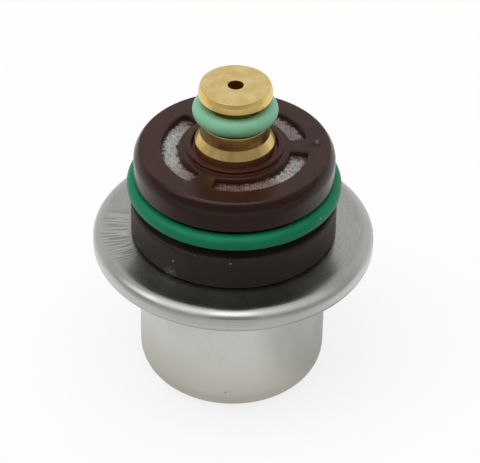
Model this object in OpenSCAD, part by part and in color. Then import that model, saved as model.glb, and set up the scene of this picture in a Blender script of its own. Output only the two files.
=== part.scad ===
// Fuel pressure regulator of the cartridge kind: a crimped steel capsule with a
// diaphragm and spring inside, a plastic strainer cap, two seals and a brass return nozzle.
// Millimetres, +Z up, origin at the centre of the can's base.

/* [Housing sheet] */
// Thickness of the steel sheet of both housing halves
sheet = 0.8; // [0.6:0.05:0.9]

/* [Spring can] */
// Outer diameter of the can
can_d = 25.4; // [24.5:0.1:26.6]
// Height from the base to the underside of the can's flange
can_h = 20.45; // [19:0.05:24]
// Outer radius of the corner between the base and the wall
can_base_r = 3.7; // [2.5:0.1:4]
// Radius of the corner under the can's flange
can_flange_r = 0.8; // [0.5:0.05:1.2]
// Diameter of the raised middle of the base
dimple_d = 9.4; // [7:0.1:9.8]
// Height of the raised middle of the base
dimple_h = 0.7; // [0.4:0.05:0.8]
// Diameter of the vent in the middle of the base
vent_d = 1.6; // [1:0.1:3]

/* [Fuel housing] */
// Diameter over the crimped rim
rim_d = 38; // [37:0.1:41]
// Outer radius of the rim's two rolled edges
rim_edge_r = 1.2; // [1:0.05:1.3]
// Flat width of the lip that is folded under the can's flange
lip_w = 1.6; // [1:0.1:2.2]
// Outer diameter of the cup that carries the body seal
cup_d = 24.2; // [23.6:0.1:25]
// Height of the cup above the rim
cup_h = 10.75; // [10:0.05:12]
// Outer radius of the cup's top corner
cup_top_r = 1.4; // [1:0.05:1.8]
// Radius of the corner where the cup meets the rim
cup_foot_r = 0.6; // [0.4:0.05:0.9]
// Length of the neck that grips the nozzle, below the cup's top
neck_h = 2.4; // [2:0.1:2.8]
// Radius of the corner between the neck and the cup's top
neck_r = 0.4; // [0.3:0.05:0.6]
// Number of fuel holes in the cup's top
fuel_holes = 6; // [4:1:8]
// Diameter of each fuel hole
fuel_hole_d = 2.8; // [2:0.1:3]

/* [Support ring] */
// Outer diameter of the ring under the body seal
ring_d = 27.66; // [27:0.02:29]
// Height of the ring
ring_h = 5.05; // [4:0.05:5.5]
// Radius of the ring's upper outer edge
ring_edge_r = 0.5; // [0.3:0.05:0.7]
// Chamfer of the ring's lower edge
ring_foot = 0.4; // [0.2:0.05:0.6]

/* [Seals] */
// Section of the body seal
body_seal_section = 2.2; // [1.9:0.05:2.4]
// Gap between the body seal and the cap's skirt
body_seal_gap = 0.6; // [0.3:0.05:0.8]
// Section of the nozzle seal
nozzle_seal_section = 2.4; // [1.8:0.05:2.5]
// Gap between the nozzle seal and the lower wall of its groove
nozzle_seal_gap = 0.4; // [0.2:0.05:0.8]

/* [Strainer cap] */
// Outer diameter of the cap
cap_d = 26.8; // [26.4:0.05:28]
// Height of the cap above the cup's top
cap_top_h = 2.53; // [2.3:0.01:2.9]
// Reach of the skirt below the cup's top
skirt_drop = 1.55; // [1:0.05:2]
// Diameter of the cap's flat top, where the shoulder begins
cap_flat_d = 25.3; // [25:0.05:25.6]
// Radius of the shoulder between the flat top and the wall
shoulder_r = 2.6; // [2:0.1:3.2]
// Thickness of the cap's roof over the gauze
roof_t = 0.75; // [0.6:0.05:1]
// Inner diameter of the windows
window_in_d = 14.8; // [14.6:0.1:15.4]
// Outer diameter of the windows
window_out_d = 19.6; // [18.6:0.1:20]
// Radius of the windows' corners
window_corner_r = 0.5; // [0.3:0.05:0.8]
// Number of windows
windows = 3; // [2:1:5]
// Angle that each rib between windows takes up
rib_angle = 19; // [12:1:30]
// Direction of the first rib
rib_start = 3; // [-10:1:10]
// Width of the ledge that holds the gauze beside the windows
ledge_w = 0.5; // [0.35:0.05:0.6]
// Outer diameter of the raised collar round the nozzle
collar_d = 13.1; // [12.8:0.1:13.4]
// Radial width of the collar
collar_w = 0.8; // [0.6:0.05:0.85]
// Height of the collar above the roof
collar_h = 0.57; // [0.3:0.01:0.8]
// Depth of the groove inside the collar, below the roof
collar_groove = 0.25; // [0.1:0.05:0.4]
// Radial width of the lip that snaps under the nozzle's barb
snap_w = 0.5; // [0.4:0.05:0.55]
// Diameter of the moulding gate's mark on the roof
gate_d = 1.2; // [1:0.1:1.6]

/* [Gauze] */
// Thickness of the gauze between its wires
gauze_t = 0.12; // [0.1:0.01:0.2]
// Distance from wire to wire
wire_pitch = 0.75; // [0.6:0.05:1.2]
// Width of a wire
wire_w = 0.32; // [0.2:0.02:0.4]
// How far the wires that run along X stand out
warp_rise = 0.09; // [0.05:0.01:0.12]
// How far the wires that run along Y stand out
weft_rise = 0.05; // [0.03:0.01:0.08]

/* [Return nozzle] */
// Diameter of the return port at the top
port_d = 2.1; // [1.6:0.1:2.6]
// Depth of the return port
port_h = 3; // [2:0.1:4]
// Diameter of the bore from the port to the seat
nozzle_bore_d = 3; // [2.8:0.1:3.4]
// Diameter of the nozzle's neck
nozzle_d = 9.2; // [9:0.1:9.4]
// Diameter of the shank that is pressed into the housing's neck
shank_d = 8; // [7:0.1:8.4]
// Diameter of the flange that seats on the housing
seat_flange_d = 11.6; // [10.8:0.1:12.4]
// Thickness of that flange
seat_flange_h = 1; // [0.8:0.05:1.2]
// Height from that flange to the barb
barb_rise = 2.55; // [2.2:0.05:2.7]
// Diameter of the barb
barb_d = 10.6; // [10.4:0.1:10.8]
// Height of the barb's straight edge
barb_edge_h = 0.2; // [0.1:0.05:0.4]
// Height of the barb's cone
barb_cone_h = 1.15; // [1:0.05:1.6]
// Height of the neck between the barb and the seal's groove
wall_h = 2; // [1.5:0.05:2.5]
// Width of the seal's groove
groove_h = 3.9; // [3.6:0.05:4.4]
// Diameter of the groove's floor
groove_d = 6.4; // [5.6:0.1:7]
// Diameter of the head
head_d = 9.74; // [9.4:0.02:10.2]
// Height of the head below its bevel
head_h = 0.8; // [0.6:0.05:1.2]
// Height of the head's bevel
head_bevel_h = 0.7; // [0.4:0.05:0.9]
// How far the bevel runs in
head_bevel_w = 0.24; // [0.1:0.02:0.4]
// Diameter of the nose that carries the valve seat
nose_d = 6.4; // [5.4:0.1:7]
// Diameter of the valve seat's land
seat_d = 4.2; // [3.8:0.1:4.3]
// Height of the valve seat's land
seat_h = 0.5; // [0.3:0.05:0.7]

/* [Diaphragm] */
// Thickness of the diaphragm
diaphragm_t = 0.9; // [0.6:0.05:1.1]
// How far its middle stands above its clamped edge while the valve is shut
diaphragm_rise = 0.8; // [0.7:0.05:1]
// Depth of its roll
roll_depth = 0.7; // [0.3:0.05:0.9]

/* [Valve] */
// Diameter of the plate above the diaphragm
plate_d = 16.8; // [15:0.1:17.5]
// Thickness of the plates on both sides of the diaphragm
plate_t = 0.8; // [0.6:0.05:0.9]
// Height of the turned-up edge of the upper plate
plate_edge_h = 0.5; // [0.3:0.05:0.7]
// Diameter of the valve holder's body
holder_d = 9.6; // [9.4:0.1:10.2]
// Diameter of the holder's shank, which goes through the diaphragm
stem_d = 5.2; // [4.8:0.1:5.6]
// Diameter of the riveted end of the shank
rivet_d = 7; // [6.4:0.1:7.6]
// Height of the riveted end
rivet_h = 0.8; // [0.7:0.05:1]
// Diameter of the valve ball
ball_d = 6; // [5.8:0.1:6.1]
// Height of the ball's flat above its centre
flat_rise = 2; // [1.9:0.05:2.05]
// Gap between the flat and the valve seat
seat_gap = 0.12; // [0.1:0.01:0.2]
// Thickness of the ball's retaining washer
washer_t = 0.4; // [0.3:0.05:0.5]
// Height of the washer's underside above the ball's centre
washer_rise = 0.9; // [0.85:0.05:1]
// Width of the holder's rim outside the washer
washer_rim = 0.6; // [0.4:0.05:0.8]
// Play of the ball in its socket
ball_play = 0.06; // [0.04:0.01:0.1]
// Height of the ball's centre above the holder's foot
ball_rise = 3.25; // [3.1:0.05:3.5]
// Diameter of the hole for the ball's spring
ball_hole_d = 3.2; // [2.8:0.1:3.4]
// Thickness left under that hole
ball_hole_floor = 0.7; // [0.5:0.05:0.9]
// Height of the spring plate's turned-down edge
spring_plate_edge_h = 1.6; // [1:0.1:2.5]

/* [Springs] */
// Wire of the main spring
spring_wire = 2.2; // [1.8:0.05:2.4]
// Outer diameter of the main spring
spring_d = 16.6; // [16:0.1:17]
// Number of turns of the main spring, with its closed ends
spring_turns = 6; // [5:0.5:6.5]
// Wire of the ball's spring
ball_spring_wire = 0.4; // [0.3:0.02:0.45]
// Number of turns of the ball's spring
ball_spring_turns = 4; // [3:0.5:5]

/* [Clearances] */
// Clearance of a plastic ring round the steel cup
ring_gap = 0.05; // [0.02:0.01:0.1]
// Clearance of a seal round its seat
seal_gap = 0.04; // [0.02:0.01:0.08]
// Clearance of the cap round the nozzle
snap_gap = 0.1; // [0.05:0.01:0.15]
// Clearance of the holder's shank in its holes
stem_gap = 0.05; // [0.02:0.01:0.1]
// Clearance of the sheets inside the crimp
crimp_gap = 0.1; // [0.05:0.01:0.2]
// Clearance of the gauze inside its recess
gauze_gap = 0.05; // [0.02:0.01:0.1]
// Clearance of the springs beside the pieces that guide them
spring_gap = 0.15; // [0.1:0.01:0.25]

/* [Hidden] */
$fn = 96;
eps = 0.01;
main_coil_steps = 28;
main_coil_sides = 10;
ball_coil_steps = 18;
ball_coil_sides = 6;
roll_steps = 24;
window_steps = 24;
corner_steps = 4;

// Radii
can_r = can_d / 2;
rim_r = rim_d / 2;
cup_r = cup_d / 2;
ring_r = ring_d / 2;
cap_r = cap_d / 2;
cap_flat_r = cap_flat_d / 2;
shank_r = shank_d / 2;
nozzle_r = nozzle_d / 2;
head_r = head_d / 2;
holder_r = holder_d / 2;
stem_r = stem_d / 2;
ball_r = ball_d / 2;

// Heights of the crimped stack, from the can's flange up
can_flange_top = can_h + sheet;
lip_z = can_h - sheet;
rim_top = can_flange_top + diaphragm_t + sheet;
cup_top = rim_top + cup_h;

// Heights of the plastic pieces and the body seal
cap_top = cup_top + cap_top_h;
skirt_z = cup_top - skirt_drop;
roof_z = cap_top - roof_t;
shoulder_z = cap_top - sqrt(pow(shoulder_r, 2) - pow(shoulder_r - cap_r + cap_flat_r, 2));
collar_top = cap_top + collar_h;
body_seal_z = skirt_z - body_seal_gap - body_seal_section / 2;
body_seal_r = cup_r + seal_gap + body_seal_section / 2;

// Strainer: the gallery under the windows and the places of the ribs
window_in_r = window_in_d / 2;
window_out_r = window_out_d / 2;
window_mid_r = (window_in_r + window_out_r) / 2;
gallery_in_r = window_in_r - ledge_w;
gallery_out_r = window_out_r + ledge_w;
window_span = 360 / windows - rib_angle;

// Heights of the nozzle, from its seat flange up
barb_z = cup_top + seat_flange_h + barb_rise;
cone_top = barb_z + barb_edge_h + barb_cone_h;
groove_z = cone_top + wall_h;
head_z = groove_z + groove_h;
nozzle_top = head_z + head_h + head_bevel_h;
nozzle_seal_z = groove_z + nozzle_seal_gap + nozzle_seal_section / 2;
nozzle_seal_r = groove_d / 2 + seal_gap + nozzle_seal_section / 2;
neck_z = cup_top - neck_h;

// Valve group, from the diaphragm's clamped middle up
clamp_z = can_flange_top + diaphragm_t / 2;
middle_z = clamp_z + diaphragm_rise;
plate_z = middle_z + diaphragm_t / 2;
holder_z = plate_z + plate_t;
spring_plate_z = middle_z - diaphragm_t / 2 - plate_t;
rivet_z = spring_plate_z - rivet_h;
stem_hole_r = stem_r + stem_gap;

// Ball: its socket is a cone of 45 degrees that ends in a straight bore
socket_floor = rivet_z + ball_hole_floor;
socket_r = ball_r + ball_play;
ball_hole_r = ball_hole_d / 2;
socket_foot_r = socket_r + ball_play;
ball_z = holder_z + ball_rise;
socket_apex = ball_z - socket_r * sqrt(2);
washer_z = ball_z + washer_rise;
holder_top = washer_z + washer_t;
washer_out_r = holder_r - washer_rim;
washer_in_r = (sqrt(pow(ball_r, 2) - pow(washer_rise, 2)) + ball_r) / 2;
seat_z = ball_z + flat_rise + seat_gap;

// Spring plate: a cup that is turned down round the main spring's upper end
spring_plate_r = spring_d / 2 + spring_gap + plate_t;

// Diaphragm's roll, between the spring plate and the clamped edge
roll_in_r = spring_plate_r + spring_gap;
roll_out_r = can_r;
diaphragm_r = rim_r - rim_edge_r - crimp_gap;

// Colours
steel = [0.72, 0.72, 0.69];
dark_steel = [0.45, 0.45, 0.44];
brass = [0.75, 0.62, 0.36];
brown = [0.25, 0.16, 0.12];
dark_brown = [0.17, 0.15, 0.13];
green = [0.1, 0.4, 0.27];
mint = [0.45, 0.66, 0.53];
wire_grey = [0.6, 0.6, 0.58];
rubber = [0.12, 0.12, 0.13];

// Rectangle from radius r0 to r1 and from height z0 to z1
module run(r0, r1, z0, z1) {
    translate([r0, z0])
        square([r1 - r0, z1 - z0]);
}

// Quarter of a ring about (r, z), in the quadrant that the signs qr and qz give
module bend(r, z, inner, thickness, qr, qz) {
    outer = inner + thickness;
    translate([r, z])
        intersection() {
            difference() {
                circle(r = outer);
                circle(r = inner);
            }
            translate([min(qr, 0) * outer, min(qz, 0) * outer])
                square(outer);
        }
}

// Rectangle like run, with its upper outer corner rounded
module round_top(r0, r1, z0, z1, edge_r) {
    run(r0, r1 - edge_r, z0, z1);
    run(r0, r1, z0, z1 - edge_r);
    intersection() {
        run(r1 - edge_r, r1, z1 - edge_r, z1);
        translate([r1 - edge_r, z1 - edge_r])
            circle(r = edge_r);
    }
}

// Ring of a round section
module seal(ring_radius, z, section) {
    translate([0, 0, z])
        rotate_extrude()
            translate([ring_radius, 0])
                circle(d = section);
}

// Points along an arc from angle a0 to a1
function arc_points(centre, r, a0, a1, steps) = [
    for (i = [0 : steps])
        let(a = a0 + (a1 - a0) * i / steps)
        centre + r * [cos(a), sin(a)]
];

// Outline of one window, centred on angle 0: two long arcs joined by four corner arcs
module window_outline() {
    corner = window_corner_r;
    in_r = window_in_r + corner;
    out_r = window_out_r - corner;
    half = window_span / 2;
    in_half = half - asin(corner / in_r);
    out_half = half - asin(corner / out_r);
    trim = 1 - 2 / window_steps;
    polygon(concat(
        arc_points([0, 0], window_out_r, -out_half * trim, out_half * trim, window_steps - 2),
        arc_points(out_r * [cos(out_half), sin(out_half)], corner, out_half, half + 90, corner_steps),
        arc_points(in_r * [cos(in_half), sin(in_half)], corner, half + 90, in_half + 180, corner_steps),
        arc_points([0, 0], window_in_r, in_half * trim, -in_half * trim, window_steps - 2),
        arc_points(in_r * [cos(in_half), -sin(in_half)], corner, 180 - in_half, 270 - half, corner_steps),
        arc_points(out_r * [cos(out_half), -sin(out_half)], corner, 270 - half, 360 - out_half, corner_steps)
    ));
}

// Points of a wire's skin along a coil. heights are those of the wire's centre, and what lies
// below low or above high is ground flat.
function coil_points(coil_r, wire_d, heights, steps, sides, low, high) = [
    for (i = [0 : len(heights) - 1], j = [0 : sides - 1])
        let(
            turn = 360 * i / steps,
            around = 360 * (j + 0.5) / sides,
            r = coil_r + wire_d / 2 * cos(around),
            z = heights[i] + wire_d / 2 * sin(around)
        )
        [r * cos(turn), r * sin(turn), min(max(z, low), high)]
];

// Faces of that skin, with its two ends closed
function coil_faces(rings, sides) = concat(
    [[for (j = [0 : sides - 1]) j]],
    [[for (j = [sides - 1 : -1 : 0]) (rings - 1) * sides + j]],
    [
        for (i = [0 : rings - 2], j = [0 : sides - 1], half = [0, 1])
            let(
                next = (j + 1) % sides,
                a = i * sides + j,
                b = i * sides + next,
                c = (i + 1) * sides + next,
                d = (i + 1) * sides + j
            )
            half == 0 ? [a, d, b] : [b, d, c]
    ]
);

// Coil from z0 to z1 whose first and last turn lie against their neighbours
module coil(coil_r, wire_d, turns, z0, z1, steps, sides) {
    start = z0 + wire_d / 4;
    closed = wire_d * 1.02;
    open = (z1 - z0 - wire_d / 2 - 2 * closed) / (turns - 2);
    heights = [
        for (i = [0 : turns * steps])
            let(turn = i / steps)
            start + closed * min(turn, 1) + open * min(max(turn - 1, 0), turns - 2)
            + closed * max(turn - turns + 1, 0)
    ];
    polyhedron(
        points = coil_points(coil_r, wire_d, heights, steps, sides, z0, z1),
        faces = coil_faces(len(heights), sides),
        convexity = 10
    );
}

// Deep-drawn can: vented base with a raised middle, wall and flange
module spring_can() {
    dimple_r = dimple_d / 2;
    color(steel)
        rotate_extrude() {
            polygon([
                [vent_d / 2, dimple_h],
                [dimple_r, dimple_h],
                [dimple_r + dimple_h, 0],
                [can_r - can_base_r, 0],
                [can_r - can_base_r, sheet],
                [dimple_r + dimple_h, sheet],
                [dimple_r, dimple_h + sheet],
                [vent_d / 2, dimple_h + sheet]
            ]);
            bend(can_r - can_base_r, can_base_r, can_base_r - sheet, sheet, 1, -1);
            run(can_r - sheet, can_r, can_base_r, can_h - can_flange_r);
            bend(can_r + can_flange_r, can_h - can_flange_r, can_flange_r, sheet, -1, 1);
            run(can_r + can_flange_r, diaphragm_r, can_h, can_flange_top);
        }
}

// Drawn cup with a neck for the nozzle, and a rim that is folded round the can's flange
module fuel_housing() {
    neck_out_r = shank_r + sheet;
    edge_r = rim_r - rim_edge_r;
    color(steel)
        difference() {
            rotate_extrude() {
                run(shank_r, neck_out_r, neck_z, cup_top - sheet - neck_r);
                bend(neck_out_r + neck_r, cup_top - sheet - neck_r, neck_r, sheet, -1, 1);
                run(neck_out_r + neck_r, cup_r - cup_top_r, cup_top - sheet, cup_top);
                bend(cup_r - cup_top_r, cup_top - cup_top_r, cup_top_r - sheet, sheet, 1, 1);
                run(cup_r - sheet, cup_r, rim_top + cup_foot_r, cup_top - cup_top_r);
                bend(cup_r + cup_foot_r, rim_top + cup_foot_r, cup_foot_r, sheet, -1, -1);
                run(cup_r + cup_foot_r, edge_r, rim_top - sheet, rim_top);
                bend(edge_r, rim_top - rim_edge_r, rim_edge_r - sheet, sheet, 1, 1);
                run(rim_r - sheet, rim_r, lip_z + rim_edge_r, rim_top - rim_edge_r);
                bend(edge_r, lip_z + rim_edge_r, rim_edge_r - sheet, sheet, 1, -1);
                run(edge_r - lip_w, edge_r, lip_z, can_h);
            }
            for (i = [0 : fuel_holes - 1])
                rotate(rib_start + 360 * (i + 0.5) / fuel_holes)
                    translate([window_mid_r, 0, cup_top - 2 * sheet])
                        cylinder(d = fuel_hole_d, h = 3 * sheet);
        }
}

// Plastic ring that stands on the rim and backs the body seal
module support_ring() {
    inner_r = cup_r + ring_gap;
    relief = cup_foot_r + ring_gap;
    color(dark_brown)
        rotate_extrude()
            difference() {
                round_top(inner_r, ring_r, rim_top, rim_top + ring_h, ring_edge_r);
                polygon([
                    [inner_r - eps, rim_top - eps],
                    [inner_r + relief, rim_top - eps],
                    [inner_r - eps, rim_top + relief]
                ]);
                polygon([
                    [ring_r + eps, rim_top - eps],
                    [ring_r - ring_foot, rim_top - eps],
                    [ring_r + eps, rim_top + ring_foot]
                ]);
            }
}

module body_seal() {
    color(green)
        seal(body_seal_r, body_seal_z, body_seal_section);
}

// Section of the cap: skirt, outer ring with its shoulder, roof, hub, raised collar and snap lip
module cap_section() {
    bore_r = nozzle_r + snap_gap;
    hub_z = cup_top + seat_flange_h + snap_gap;
    seat_clear_r = seat_flange_d / 2 + snap_gap;
    collar_r = collar_d / 2;
    groove_out_r = collar_r - collar_w;
    lip_r = bore_r + snap_w;
    run(gallery_out_r, cap_flat_r, cup_top, cap_top);
    run(gallery_out_r, cap_r, cup_top, shoulder_z);
    intersection() {
        run(cap_flat_r, cap_r, shoulder_z, shoulder_z + shoulder_r);
        translate([cap_r - shoulder_r, shoulder_z])
            circle(r = shoulder_r);
    }
    run(cup_r + ring_gap, cap_r, skirt_z, shoulder_z);
    run(lip_r, gallery_out_r, roof_z, cap_top - collar_groove);
    run(groove_out_r, gallery_out_r, roof_z, cap_top);
    run(bore_r, gallery_in_r, hub_z, roof_z);
    run(seat_clear_r, gallery_in_r, cup_top, hub_z);
    round_top(groove_out_r, collar_r, roof_z, collar_top, collar_w / 4);
    run(bore_r, lip_r, roof_z, barb_z - snap_gap);
}

// Moulded cap with arc windows over the gauze
module strainer_cap() {
    gate_r = gallery_out_r + gate_d / 2;
    gate_depth = roof_t / 5;
    color(brown)
        difference() {
            rotate_extrude()
                cap_section();
            for (i = [0 : windows - 1])
                rotate(rib_start + 360 * (i + 0.5) / windows)
                    translate([0, 0, roof_z - eps])
                        linear_extrude(roof_t + 2 * eps)
                            window_outline();
            rotate(rib_start)
                translate([gate_r, 0, cap_top - gate_depth])
                    difference() {
                        cylinder(d = gate_d, h = roof_t);
                        translate([0, 0, -eps])
                            cylinder(d = gate_d / 2, h = gate_depth + eps);
                    }
        }
}

// Flat ring of the gauze
module gauze_outline() {
    difference() {
        circle(r = gallery_out_r - gauze_gap);
        circle(r = gallery_in_r + gauze_gap);
    }
}

// Woven gauze as a thin sheet with wires crossing on its upper side
module strainer_gauze() {
    wires = floor(gallery_out_r / wire_pitch);
    sheet_z = roof_z - warp_rise - gauze_t;
    length = 2 * gallery_out_r;
    color(wire_grey)
        union() {
            translate([0, 0, sheet_z])
                linear_extrude(gauze_t)
                    gauze_outline();
            for (weave = [[0, warp_rise], [90, weft_rise]])
                translate([0, 0, sheet_z + gauze_t / 2])
                    linear_extrude(gauze_t / 2 + weave[1])
                        intersection() {
                            gauze_outline();
                            rotate(weave[0])
                                for (i = [-wires : wires])
                                    translate([-length / 2, i * wire_pitch - wire_w / 2])
                                        square([length, wire_w]);
                        }
        }
}

// Turned nozzle: head, seal groove, barb, seat flange, pressed shank and valve seat
module return_nozzle() {
    seat_r = seat_d / 2;
    nose_r = nose_d / 2;
    bore_r = nozzle_bore_d / 2;
    color(brass)
        rotate_extrude()
            polygon([
                [bore_r, seat_z],
                [seat_r, seat_z],
                [seat_r, seat_z + seat_h],
                [nose_r, seat_z + seat_h],
                [nose_r, neck_z],
                [shank_r, neck_z],
                [shank_r, cup_top],
                [seat_flange_d / 2, cup_top],
                [seat_flange_d / 2, cup_top + seat_flange_h],
                [nozzle_r, cup_top + seat_flange_h],
                [nozzle_r, barb_z],
                [barb_d / 2, barb_z],
                [barb_d / 2, barb_z + barb_edge_h],
                [nozzle_r, cone_top],
                [nozzle_r, groove_z],
                [groove_d / 2, groove_z],
                [groove_d / 2, head_z],
                [head_r, head_z],
                [head_r, head_z + head_h],
                [head_r - head_bevel_w, nozzle_top],
                [port_d / 2, nozzle_top],
                [port_d / 2, nozzle_top - port_h],
                [bore_r, nozzle_top - port_h]
            ]);
}

module nozzle_seal() {
    color(mint)
        seal(nozzle_seal_r, nozzle_seal_z, nozzle_seal_section);
}

// Height of the diaphragm's middle line in its roll, where u runs from 0 inside to 1 outside
function roll_z(u) =
    clamp_z + diaphragm_rise * (1 + cos(180 * u)) / 2 - roll_depth * pow(sin(180 * u), 2);

// Rubber diaphragm: clamped edge, roll and raised middle
module diaphragm() {
    half = diaphragm_t / 2;
    roll = [
        for (i = [0 : roll_steps])
            let(u = i / roll_steps)
            [roll_in_r + u * (roll_out_r - roll_in_r), roll_z(u)]
    ];
    color(rubber)
        rotate_extrude()
            polygon(concat(
                [[stem_hole_r, middle_z + half]],
                [for (p = roll) p + [0, half]],
                [[diaphragm_r, clamp_z + half], [diaphragm_r, clamp_z - half]],
                [for (i = [roll_steps : -1 : 0]) roll[i] - [0, half]],
                [[stem_hole_r, middle_z - half]]
            ));
}

// Pressed plate on the fuel side of the diaphragm, with its edge turned up
module diaphragm_plate() {
    plate_r = plate_d / 2;
    edge_r = plate_t / 2;
    color(dark_steel)
        rotate_extrude() {
            run(stem_hole_r, plate_r - edge_r - plate_t, plate_z, holder_z);
            bend(plate_r - edge_r - plate_t, holder_z + edge_r, edge_r, plate_t, 1, -1);
            run(plate_r - plate_t, plate_r, holder_z + edge_r, holder_z + edge_r + plate_edge_h);
        }
}

// Pressed plate on the spring side, turned down round the spring
module spring_plate() {
    edge_r = plate_t / 2;
    bend_r = spring_plate_r - plate_t - edge_r;
    color(dark_steel)
        rotate_extrude() {
            run(stem_hole_r, bend_r, spring_plate_z, spring_plate_z + plate_t);
            bend(bend_r, spring_plate_z - edge_r, edge_r, plate_t, 1, 1);
            run(spring_plate_r - plate_t, spring_plate_r, spring_plate_z - spring_plate_edge_h,
                spring_plate_z - edge_r);
        }
}

// Turned holder: body with the ball's socket, shank and riveted end
module valve_holder() {
    color(steel)
        rotate_extrude()
            polygon([
                [0, rivet_z],
                [rivet_d / 2 - rivet_h / 2, rivet_z],
                [rivet_d / 2, rivet_z + rivet_h / 2],
                [rivet_d / 2, spring_plate_z],
                [stem_r, spring_plate_z],
                [stem_r, holder_z],
                [holder_r, holder_z],
                [holder_r, holder_top],
                [washer_out_r, holder_top],
                [washer_out_r, washer_z],
                [socket_foot_r, washer_z],
                [socket_foot_r, socket_apex + socket_foot_r],
                [ball_hole_r, socket_apex + ball_hole_r],
                [ball_hole_r, socket_floor],
                [0, socket_floor]
            ]);
}

// Steel ball with a flat ground on it, which shuts the seat
module valve_ball() {
    color(steel)
        difference() {
            translate([0, 0, ball_z])
                sphere(d = ball_d);
            translate([-ball_r, -ball_r, ball_z + flat_rise])
                cube(ball_d);
        }
}

// Washer that keeps the ball in its socket
module ball_washer() {
    color(dark_steel)
        translate([0, 0, washer_z])
            difference() {
                cylinder(r = washer_out_r, h = washer_t);
                translate([0, 0, -eps])
                    cylinder(r = washer_in_r, h = washer_t + 2 * eps);
            }
}

// Small coil that holds the ball up in its socket
module ball_spring() {
    color(dark_steel)
        coil(ball_hole_r - spring_gap - ball_spring_wire / 2, ball_spring_wire, ball_spring_turns,
            socket_floor, ball_z - ball_r, ball_coil_steps, ball_coil_sides);
}

// Coil that sets the fuel pressure
module main_spring() {
    color(dark_steel)
        coil((spring_d - spring_wire) / 2, spring_wire, spring_turns, sheet, spring_plate_z,
            main_coil_steps, main_coil_sides);
}

spring_can();
fuel_housing();
support_ring();
body_seal();
strainer_cap();
strainer_gauze();
return_nozzle();
nozzle_seal();
diaphragm();
diaphragm_plate();
spring_plate();
valve_holder();
valve_ball();
ball_washer();
ball_spring();
main_spring();
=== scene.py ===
import math

import bmesh
import bpy
import numpy as np
from mathutils import Matrix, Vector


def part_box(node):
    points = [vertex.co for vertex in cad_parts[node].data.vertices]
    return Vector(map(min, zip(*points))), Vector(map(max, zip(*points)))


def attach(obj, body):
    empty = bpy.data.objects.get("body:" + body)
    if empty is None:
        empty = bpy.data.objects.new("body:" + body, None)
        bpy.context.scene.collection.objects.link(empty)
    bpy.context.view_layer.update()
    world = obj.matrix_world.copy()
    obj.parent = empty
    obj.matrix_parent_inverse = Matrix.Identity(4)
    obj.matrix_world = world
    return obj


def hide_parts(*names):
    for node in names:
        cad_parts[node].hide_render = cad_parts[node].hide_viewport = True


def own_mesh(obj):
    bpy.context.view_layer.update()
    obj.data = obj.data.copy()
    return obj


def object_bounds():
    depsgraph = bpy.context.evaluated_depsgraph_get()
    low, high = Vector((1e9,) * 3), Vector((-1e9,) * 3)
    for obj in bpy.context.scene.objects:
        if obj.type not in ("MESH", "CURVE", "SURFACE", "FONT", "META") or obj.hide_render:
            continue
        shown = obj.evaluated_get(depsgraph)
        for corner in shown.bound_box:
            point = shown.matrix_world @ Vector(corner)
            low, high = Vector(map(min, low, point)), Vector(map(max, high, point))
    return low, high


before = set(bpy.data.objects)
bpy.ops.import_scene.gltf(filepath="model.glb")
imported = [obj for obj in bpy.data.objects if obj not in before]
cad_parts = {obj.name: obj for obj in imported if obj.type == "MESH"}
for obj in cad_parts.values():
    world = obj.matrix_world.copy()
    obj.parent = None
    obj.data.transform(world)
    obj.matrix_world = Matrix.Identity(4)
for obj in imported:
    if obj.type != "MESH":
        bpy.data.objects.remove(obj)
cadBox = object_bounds()
mm = 0.001  # every length below is in millimetres, and the meshes are in metres
tau = 2 * math.pi
quarter = math.pi / 2
tiny = 1e-6  # lengths and angles below this count as none
touch = 0.01  # a point this close to a surface counts as on it
print("stage: frame loaded")


# Outer radius, lowest and highest point of a round CAD node, in millimetres
def roundSize(node):
    low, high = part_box(node)
    return high[0] / mm, low[2] / mm, high[2] / mm


# Path through corners (radius, height, fillet), where a name stands for that setting of the piece. Each
# corner becomes an arc that is tangent to both neighbouring edges, with a support point on either side.
def roundedPath(look, corners, closed=True, steps=6, support=0.15):
    corners = np.array([[look.get(value, value) for value in corner] for corner in corners], float)
    points, fillets = corners[:, :2], corners[:, 2]
    back, ahead = np.roll(points, 1, 0) - points, np.roll(points, -1, 0) - points
    backLength, aheadLength = np.linalg.norm(back, axis=1), np.linalg.norm(ahead, axis=1)
    back, ahead = back / backLength[:, None], ahead / aheadLength[:, None]
    half = np.arccos(np.clip((back * ahead).sum(1), -1, 1)) / 2
    reach = fillets / np.tan(half)
    middle = (back + ahead) / np.maximum(np.linalg.norm(back + ahead, axis=1), tiny)[:, None]
    centre = points + middle * (fillets / np.sin(half))[:, None]
    start, end = points + back * reach[:, None], points + ahead * reach[:, None]
    sweep = np.maximum(math.pi - 2 * half, tiny)[:, None]
    share = np.linspace(0, 1, steps + 1)[None]
    weightStart = (np.sin((1 - share) * sweep) / np.sin(sweep))[..., None]
    weightEnd = (np.sin(share * sweep) / np.sin(sweep))[..., None]
    arcs = centre[:, None] + weightStart * (start - centre)[:, None] + weightEnd * (end - centre)[:, None]
    freeAhead = aheadLength - reach - np.roll(reach, -1)
    freeBack = np.roll(freeAhead, 1)
    before = start + back * np.minimum(support, 0.3 * freeBack)[:, None]
    after = end + ahead * np.minimum(support, 0.3 * freeAhead)[:, None]
    path = np.concatenate([before[:, None], arcs, after[:, None]], axis=1).reshape(-1, 2)
    if not closed:
        path = path[1:-1]
    moves = np.linalg.norm(np.diff(path, axis=0), axis=1)
    return path[np.concatenate([[True], moves > tiny])]


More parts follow.
